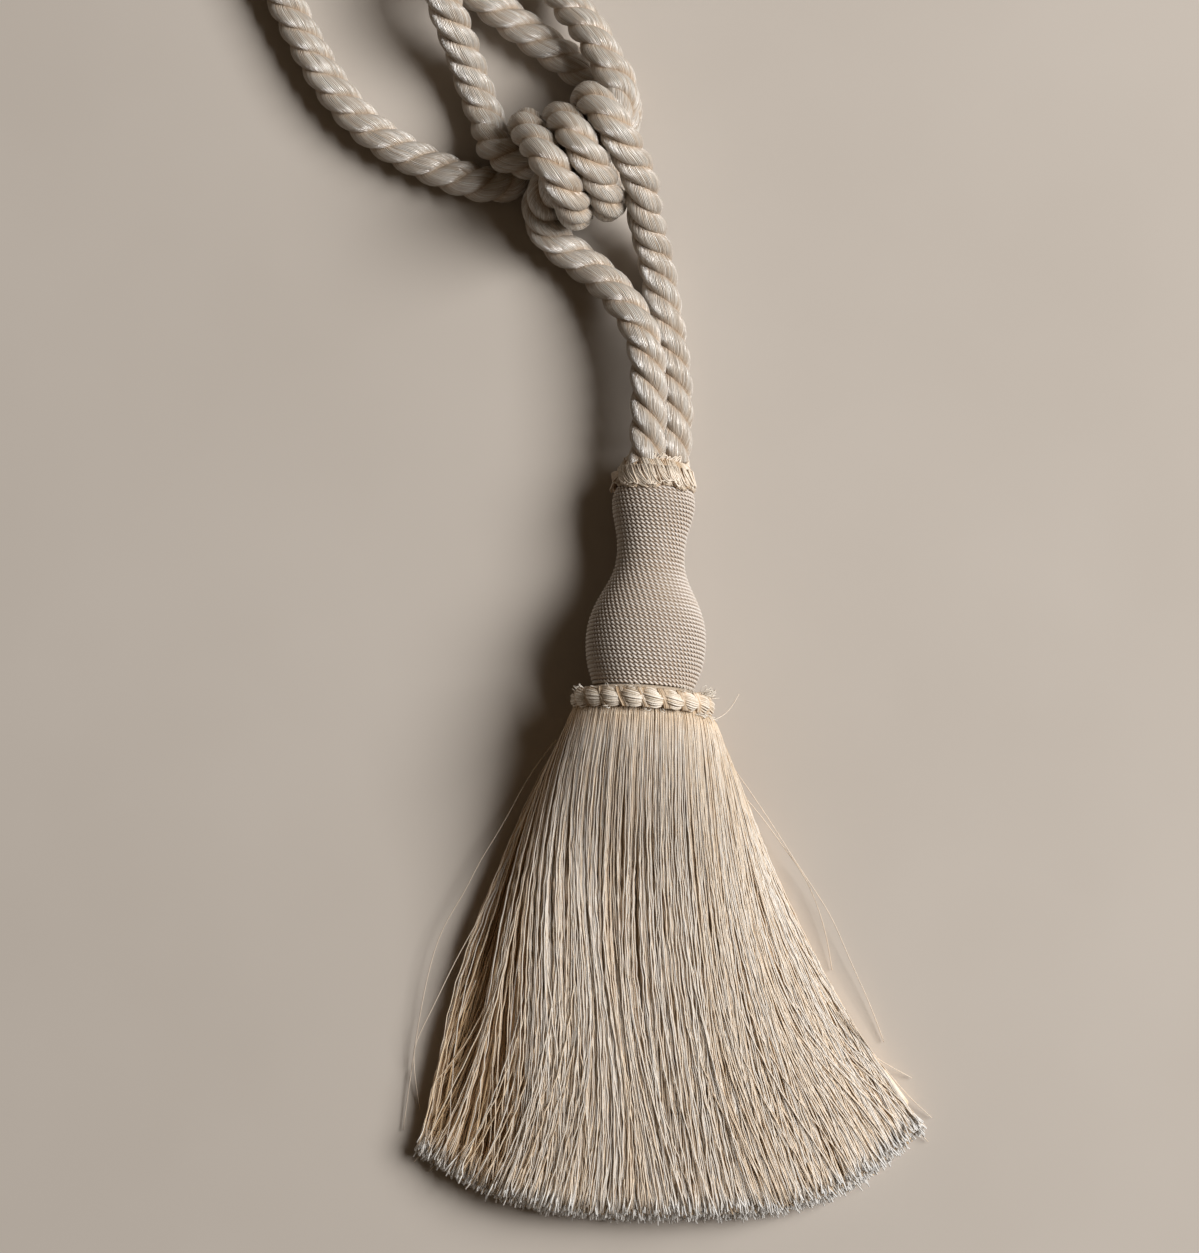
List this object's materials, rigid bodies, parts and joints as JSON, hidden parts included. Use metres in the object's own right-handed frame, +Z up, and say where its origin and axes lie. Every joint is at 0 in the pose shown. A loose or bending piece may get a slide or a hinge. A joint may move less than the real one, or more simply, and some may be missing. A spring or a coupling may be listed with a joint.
{
  "type": "drapery tassel tieback",
  "caption": "Rope tieback with a drapery tassel, lying flat: a twisted rope tied in a slip knot, a cord-wound turned head with looped ruffs, and a fanned skirt of silky threads.",
  "frame": {"origin": "on the table, under the middle of the tassel's own box, without its rope", "axes": "+X across the tassel, +Y from the cut ends of the skirt towards the rope, +Z up from the table"},
  "size_m": [0.2252, 0.4986, 0.0441],
  "materials": {
    "rope_yarn": "ivory silky yarn in three laid strands, soft sheen along the yarns, amber in the grooves",
    "ruff_yarn": "ivory yarn in loose loops and beads, soft sheen",
    "wound_cord": "fine twisted ivory cord wound in close rows, low sheen",
    "skirt_thread": "fine slightly crimped viscose threads, silky sheen, warm amber between them"
  },
  "bodies": {
    "root": {"rope": "rope_yarn", "top_ruff": "ruff_yarn", "head": "wound_cord", "collar": "ruff_yarn", "skirt": "skirt_thread"}
  },
  "joints": []
}
